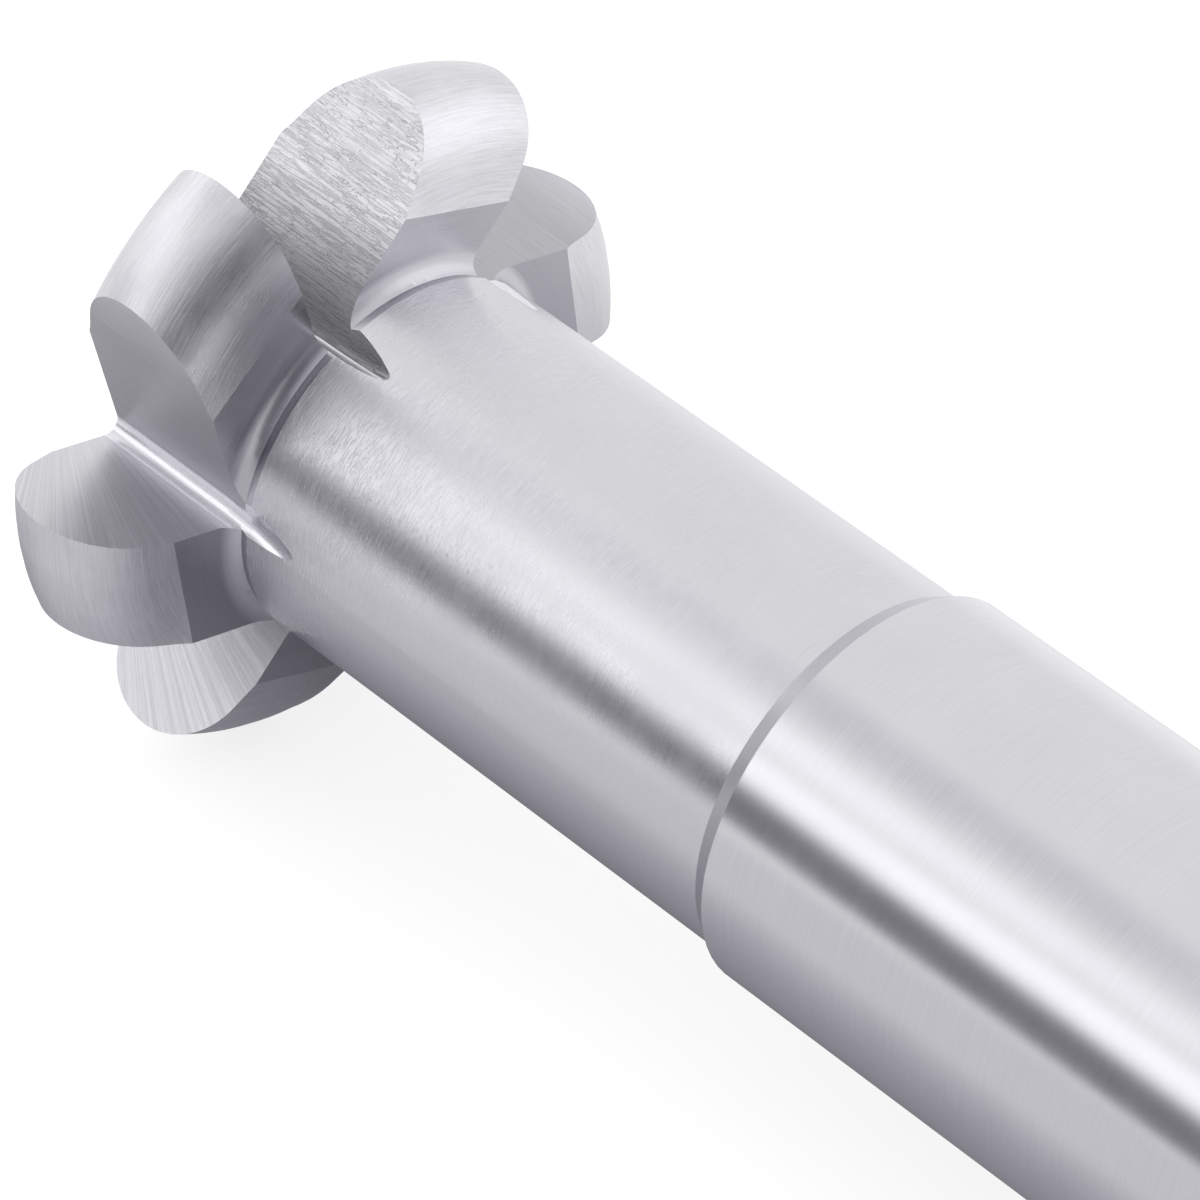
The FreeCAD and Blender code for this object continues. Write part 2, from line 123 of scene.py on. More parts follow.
# The range that a noise mostly keeps to, from the narrowest to the widest.
NARROW, MIDDLING, WIDE = (0.38, 0.62), (0.35, 0.65), (0.3, 0.7)

# Broad lines and short strokes, as multiples of the fine lines' spacing and length.
BROAD_LINES = (6, 1.5)
SHORT_STROKES = (1.1, 0.6)
# The part of the noise that shows as strokes, their share at the step, and the brightness of their
# painted glint.
STROKE_RANGE = (0.50, 0.66)
STROKES_AT_STEP = 0.15
PAINTED_STROKE_GLINT = 1.8
# Clouds in the finish: their scale per millimetre, and their share in the colour and the
# roughness.
CLOUDS = (0.35, 0.35, 0.35)
CLOUDS_IN_COLOUR = 0.3
CLOUDS_IN_ROUGHNESS = 0.5

# Distance from the middle of a cutting face's fan at which its lines have their spacing.
FAN_DISTANCE = 8.0
# Spacing of those lines, and how long they are by the tool's Z and X.
RAKE_SPACING = 0.05
RAKE_LENGTHS = (10.0, 25.0)
# The deeper lines among them: their scale, and their height as a share of the fine ones'.
DEEP_LINES = (0.35, 0.5, 0.5)
DEEP_SHARE = 0.8

# Spacing and length of the marks along the axis, in millimetres.
MILLED_LINES = (0.07, 2.5)
BURNISHED_LINES = (0.06, 3.0)
TORN_CRUMBS = (0.08, 0.45)
TORN_CLOUDS = (0.9, 2.4)
# Distances from the axis over which a milled back brightens towards the tip with a painted
# sheen, the long cracks of the torn one fade, and its dark foot ends.
PAINTED_SHEEN_SPAN = (11.0, 13.5)
CRACKS_FADE = (8.2, 12.0)
DARK_FOOT = (7.3, 9.9)
# How much of the brighter colour the lines of a milled back have, and how much its tip has as painted
# sheen.
LINES_LIGHT = 0.4
PAINTED_TIP_SHEEN = 0.6
# How much the highlights of the milled and the torn backs spread.
MILLED_BRUSHING = 0.5
TORN_BRUSHING = 0.2


class Cracks(NamedTuple):
    """Ragged thin cracks along the axis, by the noise they follow. Lengths are in millimetres."""

    spacing: float
    length: float
    detail: float
    distortion: float
    # How far the noise may be from its middle in a crack.
    width: float


SHORT_CRACKS = Cracks(spacing=0.26, length=0.9, detail=5.0, distortion=0.7, width=0.016)
LONG_CRACKS = Cracks(spacing=0.20, length=4.2, detail=4.0, distortion=0.3, width=0.045)
# Clouds in which the short cracks show, and how faint they are between those clouds.
CRACKED_CLOUDS = (0.43, 0.56)
SOUND_METAL = 0.80
# How faint the long cracks are away from the foot.
FADED_CRACKS = 0.55


class Patch(NamedTuple):
    """Soft round patch of the tent."""

    towards: tuple
    # Half angles of its even part and of all of it, in degrees.
    even: float
    whole: float
    # Which setting of the studio is its brightness.
    level: str


# Each patch covers those before it.
PATCHES = (
    Patch((-0.88, -0.25, 0.40), 19, 33, "panel_level"),
    Patch((0.42, 0.84, 0.32), 18, 34, "panel_level"),
    Patch((0.87, -0.47, 0.14), 20, 62, "open_level"),
    Patch((-0.41, -0.80, 0.43), 4, 11, "rim_level"),
    Patch((-0.48, -0.58, 0.66), 3, 10, "low_front_level"),
    Patch((-0.45, -0.25, 0.86), 4, 13, "seam_level"),
)
# Where the gap at the front fades in from its sides, and where it ends above the floor, as
# parts of a direction.
GAP_SIDES = (0.1, 0.5)
GAP_TOP = (0.25, 0.35)
# Where the painted shadow on the mirrored floor starts to lighten and where the floor is even, in
# front of the tool's line, behind it and past the tool's ends, as shares of the shadow's reach.
FRONT_RAMP = (0.0, 0.85)
BACK_RAMP = (0.2, 1.15)
END_RAMP = (0.0, 1.0)

SENSOR_WIDTH = 36.0
CLIP_START = 0.01
CLIP_END = 20.0


class CutterSizes(bpy.types.PropertyGroup):
    """Sizes of the tool that tell its surfaces apart."""

    rear_chamfer: bpy.props.FloatProperty(
        name="Rear chamfer", description="Chamfer round the rear end of the shank",
        default=0.001, unit="LENGTH", precision=5)
    step_length: bpy.props.FloatProperty(
        name="Step length", description="Cone from the shank down to the neck",
        default=0.0008, unit="LENGTH", precision=5)
    neck_length: bpy.props.FloatProperty(
        name="Neck length", description="From the step to the groove behind the head",
        default=0.0232, unit="LENGTH", precision=5)
    neck_radius: bpy.props.FloatProperty(
        name="Neck radius", description="Radius of the neck",
        default=0.0075, unit="LENGTH", precision=5)
    groove_width: bpy.props.FloatProperty(
        name="Groove width", description="From the neck's sharp edge to the head's wall",
        default=0.0009, unit="LENGTH", precision=5)
    groove_bottom: bpy.props.FloatProperty(
        name="Groove bottom", description="From the tool's axis to the bottom of the groove",
        default=0.007405, unit="LENGTH", precision=5)
    head_width: bpy.props.FloatProperty(
        name="Head width", description="From one flat wall of the head to the other",
        default=0.0067, unit="LENGTH", precision=5)
    tip_radius: bpy.props.FloatProperty(
        name="Cutting circle radius", description="From the tool's axis to a cutting tip",
        default=0.014, unit="LENGTH", precision=5)
    form_radius: bpy.props.FloatProperty(
        name="Convex radius", description="Radius of the rounded cutting edge",
        default=0.00315, unit="LENGTH", precision=5)
    relief_offset: bpy.props.FloatProperty(
        name="Relief offset", description="Offset of the axis that the lands are ground about",
        default=0.0016, unit="LENGTH", precision=5)
    hub_radius: bpy.props.FloatProperty(
        name="Hub radius", description="Disc inside the head that the teeth are rooted in",
        default=0.0096, unit="LENGTH", precision=5)
    root_radius: bpy.props.FloatProperty(
        name="Root radius", description="From the tool's axis to the bottom of a gullet",
        default=0.00708, unit="LENGTH", precision=5)
    fan_radius: bpy.props.FloatProperty(
        name="Fan radius", description="From the tool's axis to where a cutting face's lines meet",
        default=0.0064, unit="LENGTH", precision=5)
    fan_ahead: bpy.props.FloatProperty(
        name="Fan ahead", description="How far ahead of the head a cutting face's lines meet",
        default=0.004, unit="LENGTH", precision=5)
    centre_radius: bpy.props.FloatProperty(
        name="Centre hole radius", description="Mouth of the drilled centre in each end",
        default=0.00265, unit="LENGTH", precision=5)
    tooth_count: bpy.props.IntProperty(
        name="Teeth", description="Number of teeth round the head", default=6, min=2)
    rake_angle: bpy.props.FloatProperty(
        name="Rake angle", description="Lean of a cutting face at its tip",
        default=math.radians(6), subtype="ANGLE")
    gullet_angle: bpy.props.FloatProperty(
        name="Gullet angle", description="From a cutting face to the back of the tooth ahead",
        default=math.radians(60), subtype="ANGLE")


class SteelFinish(bpy.types.PropertyGroup):
    """Colour and polish of the bare steel."""

    steel: bpy.props.FloatVectorProperty(
        name="Ground steel", description="Colour of the shank, the neck, the lands and the roots",
        default=(0.66, 0.655, 0.69), size=3, min=0, max=1, subtype="COLOR")
    turned: bpy.props.FloatVectorProperty(
        name="Turned steel", description="Colour of the walls, the groove, the step and the ends",
        default=(0.53, 0.525, 0.565), size=3, min=0, max=1, subtype="COLOR")
    milled: bpy.props.FloatVectorProperty(
        name="Milled steel", description="Colour of the cleanly milled backs of the teeth",
        default=(0.46, 0.455, 0.485), size=3, min=0, max=1, subtype="COLOR")
    torn: bpy.props.FloatVectorProperty(
        name="Torn steel", description="Colour of the torn back of one tooth",
        default=(0.56, 0.555, 0.58), size=3, min=0, max=1, subtype="COLOR")
    roughness: bpy.props.FloatProperty(
        name="Roughness", description="Roughness of the neck, which the turned surfaces follow",
        default=0.30, min=0.02, max=1)
    brushing: bpy.props.FloatProperty(
        name="Brushing", description="How much the highlights spread across the grind lines",
        default=0.6, min=0, max=1)


class StudioSettings(bpy.types.PropertyGroup):
    """Camera, tent and floor."""

    camera_place: bpy.props.FloatVectorProperty(
        name="Camera place", description="Where the camera stands",
        default=(0.130084, -0.148789, 0.182029), size=3, subtype="TRANSLATION", unit="LENGTH")
    camera_turn: bpy.props.FloatVectorProperty(
        name="Camera turn", description="Turn of the camera about X, Y and Z",
        default=tuple(math.radians(a) for a in (51.338, -0.372, 45.840)), size=3, subtype="EULER")
    camera_lens: bpy.props.FloatProperty(
        name="Camera lens", description="Focal length of the camera's lens",
        default=226.6, min=1, unit="CAMERA")
    floor_size: bpy.props.FloatProperty(
        name="Floor size", description="Width of the floor",
        default=6.0, min=0.1, unit="LENGTH")
    floor_colour: bpy.props.FloatVectorProperty(
        name="Floor colour", description="Colour of the pale floor",
        default=(0.80, 0.80, 0.81), size=3, min=0, max=1, subtype="COLOR")
    floor_glow: bpy.props.FloatProperty(
        name="Floor glow", description="Brightness of the floor's unshaded part",
        default=1.3, min=0)
    shadow_share: bpy.props.FloatProperty(
        name="Shadow", description="How strong the shadow on the floor looks, from 0 to 1",
        default=0.4, min=0, max=1)
    sky_level: bpy.props.FloatProperty(
        name="Tent", description="Brightness of the white tent, where 1 is white",
        default=1.0, min=0)
    panel_level: bpy.props.FloatProperty(
        name="Soft panels", description="Brightness of the soft panels, where 1 is white",
        default=1.45, min=0)
    rim_level: bpy.props.FloatProperty(
        name="Bright rim", description="Brightness of the tent's low front rim",
        default=1.85, min=0)
    low_front_level: bpy.props.FloatProperty(
        name="Low front", description="Brightness of the tent above its low front rim",
        default=1.6, min=0)
    seam_level: bpy.props.FloatProperty(
        name="Seam", description="Brightness of the tent along its seam",
        default=0.72, min=0)
    open_level: bpy.props.FloatProperty(
        name="Open side", description="Brightness of the open side of the tent",
        default=0.17, min=0)
    gap_level: bpy.props.FloatProperty(
        name="Front gap", description="Brightness of the gap between the tent and the floor",
        default=0.24, min=0)
    # Painted shadow on the mirrored floor: its glow under the tool, and how far from the tool's line it
    # lightens.
    painted_shadow_under: bpy.props.FloatProperty(
        name="Under the tool", description="Brightness of the floor under the tool, as mirrored",
        default=0.18, min=0, max=1)
    painted_shadow_reach: bpy.props.FloatProperty(
        name="Dark reach", description="Distance from the tool's line over which the floor brightens",
        default=0.028, min=0, unit="LENGTH")
    mirrored_floor: bpy.props.FloatProperty(
        name="Mirrored floor", description="Brightness of the floor in front, as mirrored",
        default=0.84, min=0)
    mirrored_back: bpy.props.FloatProperty(
        name="Mirrored floor behind", description="Brightness of the floor behind, as mirrored",
        default=1.08, min=0)


GROUPS = {"cutter_sizes": CutterSizes, "cutter_finish": SteelFinish, "cutter_studio": StudioSettings}


class Tool:
    """The tool's own frame, in millimetres.

    The origin is the centre of the rear end, +Z runs to the cutting head and +X
    points at a cutting tip."""

    def __init__(self, sizes):
        self.sizes = sizes
        axis = -Vector(SHANK["axis"]).normalized()
        self.shank_end = SHANK["dims"]["length_mm"] + sizes.rear_chamfer / MM
        self.neck_start = self.shank_end + sizes.step_length / MM
        self.neck_end = self.neck_start + sizes.neck_length / MM
        self.wall = self.neck_end + sizes.groove_width / MM
        self.front = self.wall + sizes.head_width / MM
        self.middle = (self.wall + self.front) / 2
        self.pitch = 2 * math.pi / sizes.tooth_count
        half = SHANK["dims"]["length_mm"] / 2 * MM + sizes.rear_chamfer
        origin = Vector(SHANK["pos_m"]) - axis * half
        self.to_frame = Matrix.Translation(origin) @ self.turned_to_a_tip(origin, axis)
        self.from_frame = Matrix.Scale(1 / MM, 4) @ self.to_frame.inverted()

    def turned_to_a_tip(self, origin, axis):
        """Rotation whose Z is the axis and whose X points at the tip nearest the top."""
        def out(point):
            offset = point - origin
            return offset - axis * offset.dot(axis)

        points = [out(v.co) for v in frame["nodes"][NODE].data.vertices]
        reach = max(p.length for p in points)
        tips = [p for p in points if p.length > reach - NEAR * MM]
        tip = max(tips, key=lambda p: p.z).normalized()
        return Matrix((tip, axis.cross(tip), axis)).transposed().to_4x4()


def surface_of(tool, centre, normal):
    """Name of the surface that a triangle belongs to."""
    sizes = tool.sizes
    radius = math.hypot(centre.x, centre.y)
    outward = (normal.x * centre.x + normal.y * centre.y) / radius
    around = (normal.y * centre.x - normal.x * centre.y) / radius
    if radius < sizes.centre_radius / MM - NEAR and abs(normal.z) < FLUSH:
        return "centre_hole"
    if centre.z < sizes.rear_chamfer / MM + NEAR:
        return "end_face"
    if centre.z < tool.shank_end:
        return "shank"
    if centre.z < tool.neck_start:
        return "step"
    if centre.z < tool.neck_end and outward > FLUSH and radius > sizes.neck_radius / MM - NEAR:
        return "neck"
    if abs(normal.z) > FLUSH:
        return "groove" if centre.z < tool.middle else "end_face"
    in_groove = tool.neck_end < centre.z < tool.wall and radius > sizes.groove_bottom / MM - NEAR
    if in_groove and abs(around) < TURNED:
        return "groove"
    return toothed_surface_of(tool, radius, around, normal)


def toothed_surface_of(tool, radius, around, normal):
    """Name of the surface, for the triangles of the gullets and the lands."""
    sizes = tool.sizes
    if abs(normal.z) < LEVEL and abs(around) > ACROSS and radius > sizes.root_radius / MM:
        lean = math.pi / 2 if around > 0 else sizes.gullet_angle - math.pi / 2
        teeth = (math.atan2(normal.y, normal.x) - sizes.rake_angle - lean) / tool.pitch
        if abs(teeth - round(teeth)) < SAME_WAY:
            return "rake" if around > 0 else "back"
    return "land" if radius > sizes.hub_radius / MM - 2 * NEAR else "root"


def named_surfaces(tool, mesh):
    """Surface of each triangle. The back that reaches highest is the torn one."""
    turn = tool.to_frame.to_3x3().inverted()
    names, backs = [], {}
    for polygon in mesh.polygons:
        normal = turn @ polygon.normal
        names.append(surface_of(tool, tool.from_frame @ polygon.center, normal))
        if names[-1] == "back":
            facing = round(math.atan2(normal.y, normal.x) / (tool.pitch / FACING_STEPS))
            backs.setdefault(facing, []).append(polygon)
    torn = max(backs.values(), key=lambda back: max(polygon.center.z for polygon in back))
    for polygon in torn:
        names[polygon.index] = "torn_back"
    flat = max(torn, key=lambda polygon: polygon.area)
    for polygon in mesh.polygons:
        offset = polygon.center - flat.center
        near = offset.length < RUN_OUT_REACH and abs(offset.dot(flat.normal)) < RUN_OUT_OFF
        alike = polygon.normal.dot(flat.normal) > FACES_ALIKE
        if names[polygon.index] == "root" and near and alike:
            names[polygon.index] = "torn_back"
    return names


# The sockets of a Mix node, by their places: its share, its two inputs and its result.
MIX_SOCKETS = {"RGBA": (0, 6, 7, 2), "FLOAT": (0, 2, 3, 0)}


class Graph:
    """Adds nodes to a node tree and joins them."""

    def __init__(self, tree):
        self.tree = tree

    def add(self, kind, inputs=(), **settings):
        """Node of a kind. Inputs gives its sockets, by name or place, a value or another socket."""
        node = self.tree.nodes.new(kind)
        for name, value in settings.items():
            setattr(node, name, value)
        for socket, value in dict(inputs).items():
            self.feed(node.inputs[socket], value)
        return node

    def feed(self, socket, value):
        if isinstance(value, bpy.types.NodeSocket):
            self.tree.links.new(value, socket)
        else:
            socket.default_value = value

    def math(self, operation, *values):
        return self.add("ShaderNodeMath", enumerate(values), operation=operation).outputs[0]

    def vector_math(self, operation, *values):
        node = self.add("ShaderNodeVectorMath", enumerate(values), operation=operation)
        return node.outputs["Value" if operation in ("LENGTH", "DOT_PRODUCT") else "Vector"]

    def scaled(self, vector, factor):
        """A vector times a number."""
        node = self.add("ShaderNodeVectorMath", {0: vector, "Scale": factor}, operation="SCALE")
        return node.outputs["Vector"]

    def vector(self, x, y, z):
        return self.add("ShaderNodeCombineXYZ", {0: x, 1: y, 2: z}).outputs[0]

    def noise(self, vector, detail=4.0, roughness=0.6, distortion=0.0):
        """Noise about once per unit of the vector, from 0 to 1."""
        return self.add("ShaderNodeTexNoise", {
            "Vector": vector, "Scale": 1.0, "Detail": detail, "Roughness": roughness,
            "Distortion": distortion}).outputs[0]

    def remap(self, value, low, high, to_low=0.0, to_high=1.0):
        """A value between low and high brought to one between to_low and to_high."""
        return self.add("ShaderNodeMapRange", {
            "Value": value, "From Min": low, "From Max": high,
            "To Min": to_low, "To Max": to_high}, clamp=True).outputs[0]

    def blend(self, one, other, share):
        """One value with the other's share in it. The share is a plain number."""
        return self.math("ADD", self.math("MULTIPLY", one, 1 - share),
                         self.math("MULTIPLY", other, share))

    def mix(self, share, one, other, kind="RGBA"):
        """A colour between two others, or a number if kind says FLOAT."""
        share_in, one_in, other_in, result = MIX_SOCKETS[kind]
        node = self.add("ShaderNodeMix", {share_in: share, one_in: one, other_in: other},
                        data_type=kind)
        return node.outputs[result]

    def mix_shaders(self, share, one, other):
        return self.add("ShaderNodeMixShader", {
            0: share, 1: one.outputs[0], 2: other.outputs[0]})

    def cool_when_dim(self, level):
        """White for a bright level, and a cool grey tint for a dim one."""
        return self.mix(self.remap(level, COOL_LEVEL, 1.0), COOL, WHITE)

    def bump(self, height, depth, normal=None):
        """Normal of a surface that is raised by the height, 0 to 1, times depth in millimetres."""
        node = self.add("ShaderNodeBump", {"Height": height, "Strength": 1.0, "Distance": depth * MM})
        if normal is not None:
            self.feed(node.inputs["Normal"], normal)
        return node.outputs[0]


class Places:
    """Where a point of a surface lies on the tool, as sockets in millimetres."""

    def __init__(self, graph, tool):
        self.graph = graph
        self.tool = tool
        place, turn, _ = tool.to_frame.decompose()
        coordinates = graph.add("ShaderNodeTexCoord").outputs["Object"]
        self.point = graph.add("ShaderNodeMapping", {
            "Vector": coordinates, "Location": place, "Rotation": turn.to_euler(),
            "Scale": (MM, MM, MM)}, vector_type="TEXTURE").outputs[0]
        self.x, self.y, self.z = graph.add("ShaderNodeSeparateXYZ", {0: self.point}).outputs
        self.radius = graph.vector_math("LENGTH", graph.vector(self.x, self.y, 0.0))

    def way(self, index):
        """Direction of the tool's X, Y or Z axis, in the frame."""
        return self.graph.vector(*self.tool.to_frame.to_3x3().col[index])

    def axis(self):
        return self.way(2)

    def outward(self):
        """Direction away from the tool's axis, in the frame."""
        graph = self.graph
        return graph.vector_math("NORMALIZE", graph.vector_math(
            "ADD", graph.scaled(self.way(0), self.x), graph.scaled(self.way(1), self.y)))

    def profile(self):
        """Distance along a turned profile."""
        return self.graph.math("ADD", self.z, self.radius)

    def form_arc(self):
        """Distance along the rounded form of a tooth, from its middle."""
        graph, tool = self.graph, self.tool
        offset = tool.sizes.relief_offset / MM
        form_radius = tool.sizes.form_radius / MM
        land_radius = math.hypot(tool.sizes.tip_radius / MM, offset)
        around = graph.math("ARCTAN2", self.y, self.x)
        behind = graph.math("FLOORED_MODULO", graph.math("MULTIPLY", around, -1.0), tool.pitch)
        lean = graph.math("MULTIPLY", graph.math("SINE", behind), 2 * offset)
        square = graph.math("MULTIPLY_ADD", self.radius, graph.math("ADD", self.radius, lean),
                            offset ** 2)
        out = graph.math("SUBTRACT", graph.math("SQRT", square), land_radius - form_radius)
        along = graph.math("SUBTRACT", self.z, tool.middle)
        return graph.math("MULTIPLY", graph.math("ARCTAN2", along, out), form_radius)

    def fan(self):
        """The fan of grind lines on a cutting face: distance across the lines, and that way.

        The lines spread from a point beyond the front of the tool, near the gullets' roots."""
        graph, sizes = self.graph, self.tool.sizes
        aside = sizes.tip_radius / MM * math.sin(sizes.rake_angle)
        square = graph.math("SUBTRACT", graph.math("POWER", self.radius, 2.0), aside ** 2)
        out = graph.math("SUBTRACT", graph.math("SQRT", square), sizes.fan_radius / MM)
        back = graph.math("SUBTRACT", self.tool.front + sizes.fan_ahead / MM, self.z)
        across = graph.math("MULTIPLY", graph.math("ARCTAN2", out, back), FAN_DISTANCE)
        way = graph.vector_math("NORMALIZE", graph.vector_math(
            "ADD", graph.scaled(self.outward(), back), graph.scaled(self.axis(), out)))
        return across, way

    def lines(self, along, spacing, length):
        """Vector for noise in lines that follow one another along a distance."""
        graph = self.graph
        return graph.vector(graph.math("MULTIPLY", along, 1 / spacing),
                            graph.math("MULTIPLY", self.x, 1 / length),
                            graph.math("MULTIPLY", self.y, 1 / length))

    def axial_lines(self, spacing, length):
        """Vector for noise in lines along the tool's axis."""
        graph = self.graph
        return graph.vector(graph.math("MULTIPLY", self.x, 1 / spacing),
                            graph.math("MULTIPLY", self.y, 1 / spacing),
                            graph.math("MULTIPLY", self.z, 1 / length))

    def cracks(self, kind):
        """Ragged thin lines, 0 on a line and 1 beside it."""
        graph = self.graph
        noise = graph.noise(self.axial_lines(kind.spacing, kind.length), detail=kind.detail,
                            distortion=kind.distortion)
        off = graph.math("ABSOLUTE", graph.math("SUBTRACT", noise, 0.5))
        return graph.remap(off, 0.0, kind.width)


def empty_graph(owner):
    """Graph of a new material or world, without the nodes that it starts with."""
    owner.use_nodes = True
    owner.node_tree.nodes.clear()
    return Graph(owner.node_tree)


def new_steel(name, tool):
    """A material for the tool, its graph and the places on the tool."""
    material = bpy.data.materials.new(name)
    graph = empty_graph(material)
    return material, graph, Places(graph, tool)


def steel_shader(graph, colour, roughness, normal, tangent, brushing):
    """Bare steel whose highlights spread by the brushing, 0 to 1."""
    shader = graph.add("ShaderNodeBsdfPrincipled", {
        "Base Color": colour, "Metallic": 1.0, "Roughness": roughness, "Normal": normal,
        "Tangent": tangent, "Anisotropic": brushing})
    graph.add("ShaderNodeOutputMaterial", {"Surface": shader.outputs[0]})


def rgba(colour, level=1.0):
    """A colour times the level, with full alpha."""
    return (*(min(1.0, c * level) for c in colour), 1.0)


def lined_steel(tool, finish, kind):
    """Steel with fine lines round the tool's axis."""
    material, graph, places = new_steel(kind.material, tool)
    if kind.along == "form":
        along = places.form_arc()
    else:
        along = places.profile() if kind.along == "profile" else places.z

    def marks_like(multiples):
        spacing, length = multiples
        return graph.noise(places.lines(along, kind.spacing * spacing, kind.length * length),
                           detail=3.0)

    fine = graph.noise(places.lines(along, kind.spacing, kind.length), roughness=0.75)
    clouds = graph.noise(graph.vector_math("MULTIPLY", places.point, CLOUDS), detail=3.0)
    height = graph.math("MULTIPLY_ADD", marks_like(BROAD_LINES), kind.broad_share, fine)
    normal = graph.bump(height, kind.depth)
    shade = graph.remap(graph.blend(fine, clouds, CLOUDS_IN_COLOUR), *MIDDLING)
    if kind.strokes:
        near_head = graph.remap(places.z, tool.neck_start, tool.neck_end, STROKES_AT_STEP)
        strokes = graph.math("MULTIPLY", graph.remap(marks_like(SHORT_STROKES), *STROKE_RANGE),
                             near_head)
        normal = graph.bump(strokes, kind.strokes, normal)
        # Painted glint: the strokes lighten the colour as well as raising the surface.
        shade = graph.math("MAXIMUM", shade, graph.math("MULTIPLY", strokes, PAINTED_STROKE_GLINT))
    colour = getattr(finish, kind.colour)
    base = graph.mix(shade, rgba(colour, 1 - kind.contrast), rgba(colour, 1 + kind.contrast))
    # The painted glints of the strokes are brighter than the brightest line.
    base.node.clamp_factor = False
    roughness = finish.roughness + kind.rougher
    rough = graph.remap(graph.blend(fine, clouds, CLOUDS_IN_ROUGHNESS), *MIDDLING,
                        roughness - kind.variation, roughness + kind.variation)
    tangent = places.axis() if kind.tangent == "axis" else places.outward()
    steel_shader(graph, base, rough, normal, tangent, finish.brushing)
    return material


def ground_rake(tool, finish):
    """Cutting face with grind lines that spread like a fan."""
    material, graph, places = new_steel("ground_rake", tool)
    across, way = places.fan()
    vector = graph.vector(graph.math("MULTIPLY", across, 1 / RAKE_SPACING),
                          graph.math("MULTIPLY", places.z, 1 / RAKE_LENGTHS[0]),
                          graph.math("MULTIPLY", places.x, 1 / RAKE_LENGTHS[1]))
    fine = graph.noise(vector, roughness=0.8)
    deep = graph.noise(graph.vector_math("MULTIPLY", vector, DEEP_LINES), detail=2.0)
    normal = graph.bump(graph.math("MULTIPLY_ADD", deep, DEEP_SHARE, fine), depth=0.006)
    base = graph.mix(graph.remap(fine, *NARROW), rgba(finish.steel, level=0.9),
                     rgba(finish.steel, level=1.1))
    rough = graph.remap(deep, *WIDE, to_low=0.28, to_high=0.38)
    steel_shader(graph, base, rough, normal, way, finish.brushing)
    return material


def milled_lines(graph, places):
    """Noise of the lines on a milled back, and the normal that they give."""
    fine = graph.noise(places.axial_lines(*MILLED_LINES), roughness=0.75)
    return fine, graph.bump(fine, depth=0.008)


def milled_back(tool, finish):
    """Back of a tooth, cleanly milled along the axis, with a painted sheen towards its tip."""
    material, graph, places = new_steel("milled_back", tool)
    fine, normal = milled_lines(graph, places)
    # Painted sheen: the colour lightens towards the tip, standing in for the bright tent that the back
    # mirrors there.
    painted_tip_sheen = graph.remap(places.radius, *PAINTED_SHEEN_SPAN, to_high=PAINTED_TIP_SHEEN)
    lines_and_sheen = graph.math("MULTIPLY_ADD", graph.remap(fine, *MIDDLING), LINES_LIGHT, painted_tip_sheen)
    base = graph.mix(lines_and_sheen, rgba(finish.milled, level=0.92), rgba(finish.milled, level=1.4))
    rough = graph.remap(fine, *WIDE, to_low=0.32, to_high=0.42)
    steel_shader(graph, base, rough, normal, places.outward(), MILLED_BRUSHING)
    return material


def torn_back(tool, finish):
    """Back of a tooth with torn metal: ragged cracks, and long dark ones at its foot."""
    material, graph, places = new_steel("torn_back", tool)
    fine, normal = milled_lines(graph, places)
    clouds = graph.noise(places.axial_lines(*TORN_CLOUDS), detail=3.0)
    sound = graph.remap(clouds, *CRACKED_CLOUDS, to_low=SOUND_METAL, to_high=0.0)
    short = graph.math("MAXIMUM", places.cracks(SHORT_CRACKS), sound)
    faint = graph.remap(places.radius, *CRACKS_FADE, to_high=FADED_CRACKS)
    long = graph.math("MAXIMUM", places.cracks(LONG_CRACKS), faint)
    whole = graph.math("MULTIPLY", short, long)
    normal = graph.bump(whole, depth=0.007, normal=normal)
    normal = graph.bump(graph.noise(places.axial_lines(*TORN_CRUMBS)), depth=0.007, normal=normal)
    shade = graph.math("MULTIPLY", graph.remap(whole, 0.0, 1.0, to_low=0.70),
                       graph.remap(fine, *MIDDLING, to_low=0.94, to_high=1.04))
    above_foot = graph.remap(places.radius, *DARK_FOOT, to_low=0.34)
    base = graph.mix(graph.math("MULTIPLY", shade, above_foot), BLACK,
                     rgba(finish.torn, level=1.28))
    rough = graph.remap(clouds, *WIDE, to_low=0.30, to_high=0.40)
    steel_shader(graph, base, rough, normal, places.outward(), TORN_BRUSHING)
    return material


def gullet_root(tool, finish):
    """Rounded bottom of a gullet, burnished along the axis."""
    material, graph, places = new_steel("gullet_root", tool)
    fine = graph.noise(places.axial_lines(*BURNISHED_LINES), detail=3.0)
    base = graph.mix(graph.remap(fine, *WIDE), rgba(finish.steel, level=1.1),
                     rgba(finish.steel, level=1.3))
    rough = graph.remap(fine, *WIDE, to_low=0.22, to_high=0.32)
    steel_shader(graph, base, rough, graph.bump(fine, depth=0.003), places.outward(),
                 finish.brushing)
    return material


class CUTTER_OT_finish(bpy.types.Operator):
    """Give each surface of the cutter the finish of the cut that made it"""

    bl_idname = "cutter.finish"
    bl_label = "Finish the surfaces"

    def execute(self, context):
        finish = context.scene.cutter_finish
        tool = Tool(context.scene.cutter_sizes)
        materials = {name: lined_steel(tool, finish, kind) for name, kind in LINED_SURFACES.items()}
        materials["rake"] = ground_rake(tool, finish)
        materials["back"] = milled_back(tool, finish)
        materials["torn_back"] = torn_back(tool, finish)
        materials["root"] = gullet_root(tool, finish)
        cutter = frame["nodes"][NODE]
        names = named_surfaces(tool, cutter.data)
        missing = sorted(set(materials) - set(names))
        if missing:
            raise RuntimeError(f"no triangle is on {missing}")
        cutter.data.materials.clear()
        for material in materials.values():
            cutter.data.materials.append(material)
        slots = {name: index for index, name in enumerate(materials)}
        for polygon, name in zip(cutter.data.polygons, names):
            polygon.material_index = slots[name]
        return {"FINISHED"}


